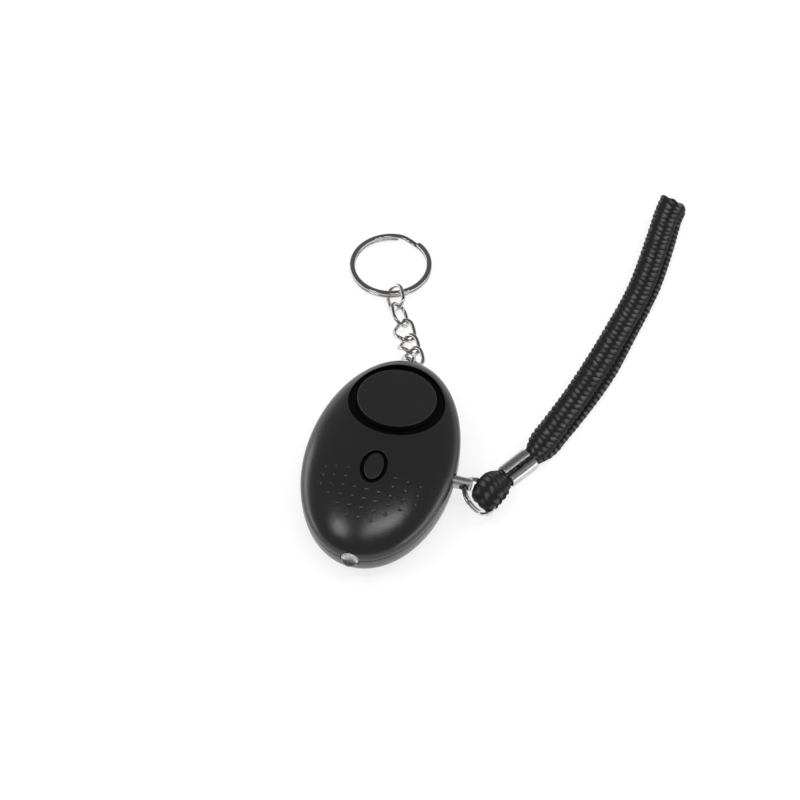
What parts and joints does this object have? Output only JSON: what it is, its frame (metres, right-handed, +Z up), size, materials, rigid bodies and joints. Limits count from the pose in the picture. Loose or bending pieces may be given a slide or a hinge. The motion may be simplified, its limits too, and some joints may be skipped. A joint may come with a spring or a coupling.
{
  "type": "personal safety alarm",
  "caption": "Egg-shaped pocket alarm with a sounder under a round cap, a torch and its button, a pull pin on a braided wrist strap, and a curb chain with a split key ring.",
  "frame": {"origin": "centre of the flat back, on the plane that the alarm lies on", "axes": "+Z up out of the front shell, +Y along the case to the chain, +X to the pull pin"},
  "size_m": [0.0965, 0.1551, 0.0201],
  "materials": {
    "case_plastic": "fine satin texture, black",
    "cap_plastic": "flat matt black",
    "dark_plastic": "plain moulded",
    "pale_plastic": "plain moulded",
    "brass_sheet": "rolled sheet",
    "ceramic": "silvered ceramic",
    "board": "coated board",
    "clear_lamp": "clear moulded lens",
    "nickel": "bright nickel plate",
    "plain_steel": "plain steel",
    "braid": "flat braided polyester"
  },
  "bodies": {
    "case": {"front_shell": "case_plastic", "rear_shell": "case_plastic", "siren_cap": "cap_plastic", "torch_lamp": "clear_lamp", "chain_eye": "nickel", "siren_chamber": "pale_plastic", "sounder_plate": "brass_sheet", "sounder_ceramic": "ceramic", "tact_switch": "dark_plastic", "circuit_board": "board", "pin_socket": "dark_plastic", "socket_contacts": "brass_sheet", "battery_holder": "dark_plastic", "cell_1": "plain_steel", "cell_2": "plain_steel", "cell_3": "plain_steel", "positive_contact": "plain_steel", "negative_contact": "plain_steel", "case_screw_1": "plain_steel", "case_screw_2": "plain_steel", "case_screw_3": "plain_steel", "case_screw_4": "plain_steel"},
    "button": {"torch_button": "cap_plastic", "switch_plunger": "dark_plastic"},
    "pin": {"pull_pin": "nickel"},
    "pin_ring": {"pin_ring": "nickel"},
    "strap": {"strap_crimp": "nickel", "strap_loop": "braid", "wrist_strap": "braid"},
    "link_1": {"chain_link_1": "nickel"},
    "link_2": {"chain_link_2": "nickel"},
    "link_3": {"chain_link_3": "nickel"},
    "link_4": {"chain_link_4": "nickel"},
    "link_5": {"chain_link_5": "nickel"},
    "key_ring": {"key_ring": "nickel"}
  },
  "joints": [
    {"name": "button_press", "type": "slide", "parent": "case", "child": "button", "axis": [0, 0, -1], "range_m": [0, 0.0005], "stiffness_N_per_m": 2000},
    {"name": "pin_pull", "type": "slide", "parent": "case", "child": "pin", "axis": [1, 0, 0], "range_m": [0, 0.016]},
    {"name": "pin_ring_swing", "type": "hinge", "parent": "pin", "child": "pin_ring", "pos_m": [0.024, -0.0019, 0.0106], "axis": [0, 0.9511, -0.309], "range_deg": [-70, 15]},
    {"name": "strap_swing", "type": "hinge", "parent": "pin_ring", "child": "strap", "pos_m": [0.03051, 0.00088, 0.00435], "axis": [0.6683, -0.6653, -0.3328], "range_deg": [0, 10]},
    {"name": "link_1_dip", "type": "hinge", "parent": "case", "child": "link_1", "pos_m": [0.00059, 0.03369, 0.0106], "axis": [-0.8988, -0.4384, 0], "range_deg": [-25, 20]},
    {"name": "link_2_swing", "type": "hinge", "parent": "link_1", "child": "link_2", "pos_m": [-0.00249, 0.04002, 0.0067], "axis": [-0.2125, 0.4357, 0.8746], "range_deg": [-25, 25]},
    {"name": "link_3_dip", "type": "hinge", "parent": "link_2", "child": "link_3", "pos_m": [-0.00472, 0.04457, 0.00495], "axis": [-0.8988, -0.4384, 0], "range_deg": [-25, 20]},
    {"name": "link_4_swing", "type": "hinge", "parent": "link_3", "child": "link_4", "pos_m": [-0.00819, 0.0517, 0.00355], "axis": [-0.0761, 0.1561, 0.9848], "range_deg": [-25, 25]},
    {"name": "link_5_dip", "type": "hinge", "parent": "link_4", "child": "link_5", "pos_m": [-0.01055, 0.05652, 0.00355], "axis": [-0.8988, -0.4384, 0], "range_deg": [-25, 20]},
    {"name": "key_ring_swing", "type": "hinge", "parent": "link_5", "child": "key_ring", "pos_m": [-0.01408, 0.06376, 0.00355], "axis": [0, 0, 1], "range_deg": [-30, 30]}
  ]
}
